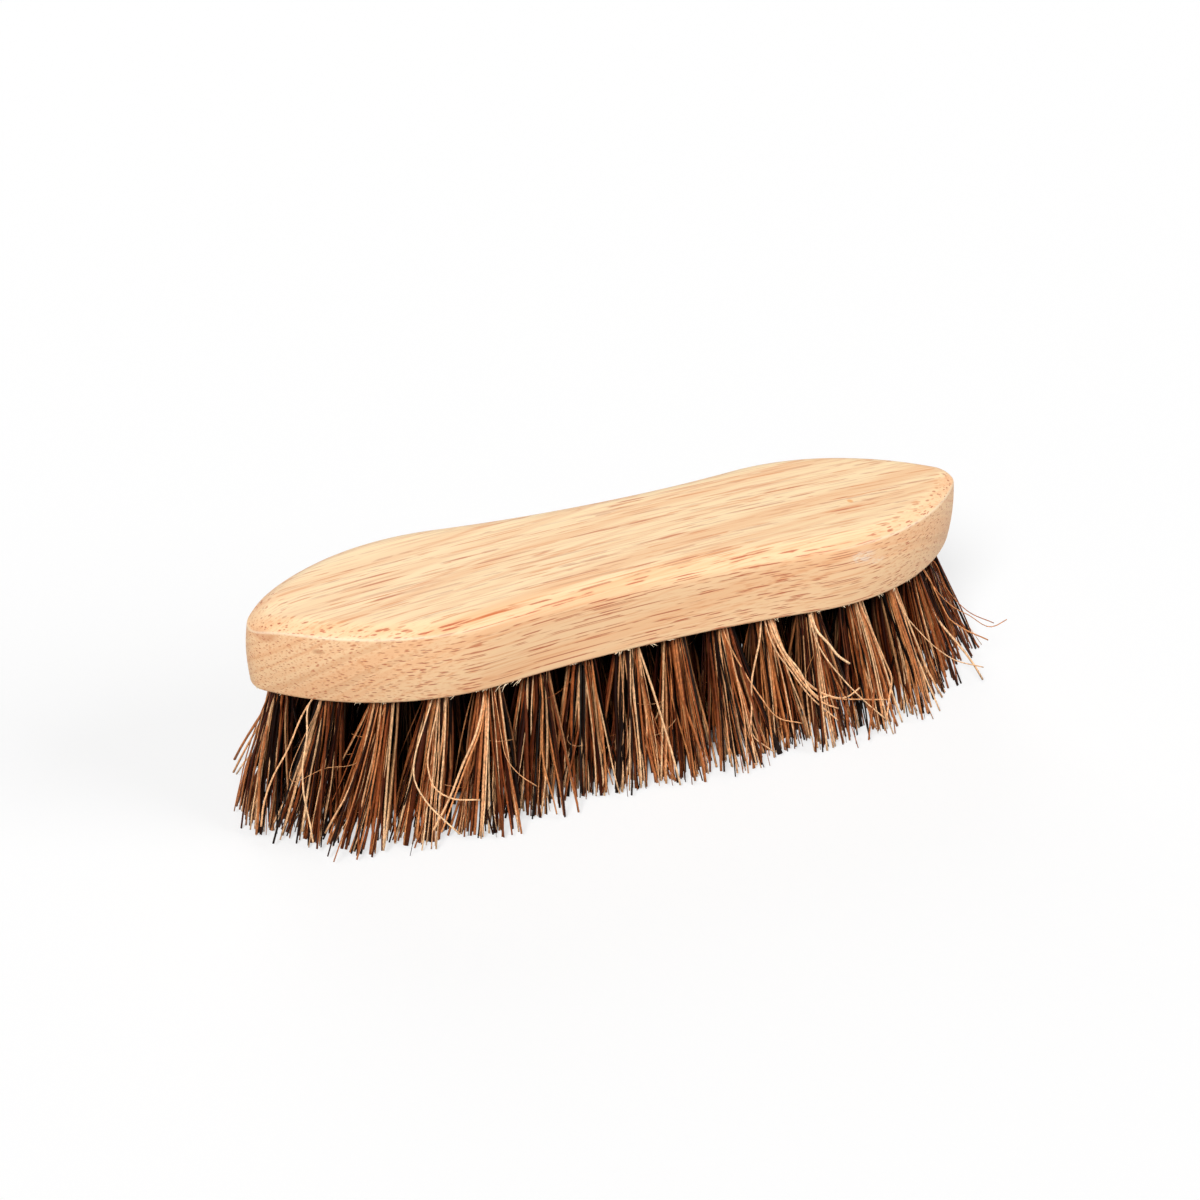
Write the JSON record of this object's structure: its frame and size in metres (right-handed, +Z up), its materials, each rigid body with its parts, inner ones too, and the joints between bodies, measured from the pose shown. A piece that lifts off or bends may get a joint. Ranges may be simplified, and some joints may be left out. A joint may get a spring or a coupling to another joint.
{
  "type": "scrub brush",
  "caption": "Waisted wooden hand scrub brush with pointed ends, a flat top with softened edges, and fanned tufts of stiff brown plant fibre stapled into bored holes.",
  "frame": {"origin": "middle of the plane that the trimmed fibre tips share, under the middle of the block", "axes": "+X along the block's length, +Y across it, +Z up out of the block's flat top"},
  "size_m": [0.2132, 0.0642, 0.0583],
  "materials": {
    "rubberwood": "sanded, thinly oiled",
    "bassine_fibre": "dry natural fibre",
    "staple_wire": "drawn wire"
  },
  "bodies": {
    "root": {"brush_block": "rubberwood", "tuft_end_left": "bassine_fibre", "tuft_end_right": "bassine_fibre", "tuft_far_01": "bassine_fibre", "tuft_far_02": "bassine_fibre", "tuft_far_03": "bassine_fibre", "tuft_far_04": "bassine_fibre", "tuft_far_05": "bassine_fibre", "tuft_far_06": "bassine_fibre", "tuft_far_07": "bassine_fibre", "tuft_far_08": "bassine_fibre", "tuft_far_09": "bassine_fibre", "tuft_far_10": "bassine_fibre", "tuft_far_11": "bassine_fibre", "tuft_far_12": "bassine_fibre", "tuft_far_13": "bassine_fibre", "tuft_far_14": "bassine_fibre", "tuft_mid_far_01": "bassine_fibre", "tuft_mid_far_02": "bassine_fibre", "tuft_mid_far_03": "bassine_fibre", "tuft_mid_far_04": "bassine_fibre", "tuft_mid_far_05": "bassine_fibre", "tuft_mid_far_06": "bassine_fibre", "tuft_mid_far_07": "bassine_fibre", "tuft_mid_far_08": "bassine_fibre", "tuft_mid_far_09": "bassine_fibre", "tuft_mid_far_10": "bassine_fibre", "tuft_mid_far_11": "bassine_fibre", "tuft_mid_near_01": "bassine_fibre", "tuft_mid_near_02": "bassine_fibre", "tuft_mid_near_03": "bassine_fibre", "tuft_mid_near_04": "bassine_fibre", "tuft_mid_near_05": "bassine_fibre", "tuft_mid_near_06": "bassine_fibre", "tuft_mid_near_07": "bassine_fibre", "tuft_mid_near_08": "bassine_fibre", "tuft_mid_near_09": "bassine_fibre", "tuft_mid_near_10": "bassine_fibre", "tuft_mid_near_11": "bassine_fibre", "tuft_near_01": "bassine_fibre", "tuft_near_02": "bassine_fibre", "tuft_near_03": "bassine_fibre", "tuft_near_04": "bassine_fibre", "tuft_near_05": "bassine_fibre", "tuft_near_06": "bassine_fibre", "tuft_near_07": "bassine_fibre", "tuft_near_08": "bassine_fibre", "tuft_near_09": "bassine_fibre", "tuft_near_10": "bassine_fibre", "tuft_near_11": "bassine_fibre", "tuft_near_12": "bassine_fibre", "tuft_near_13": "bassine_fibre", "tuft_near_14": "bassine_fibre", "tuft_staples": "staple_wire", "tuft_tip_left": "bassine_fibre", "tuft_tip_right": "bassine_fibre"}
  },
  "joints": []
}
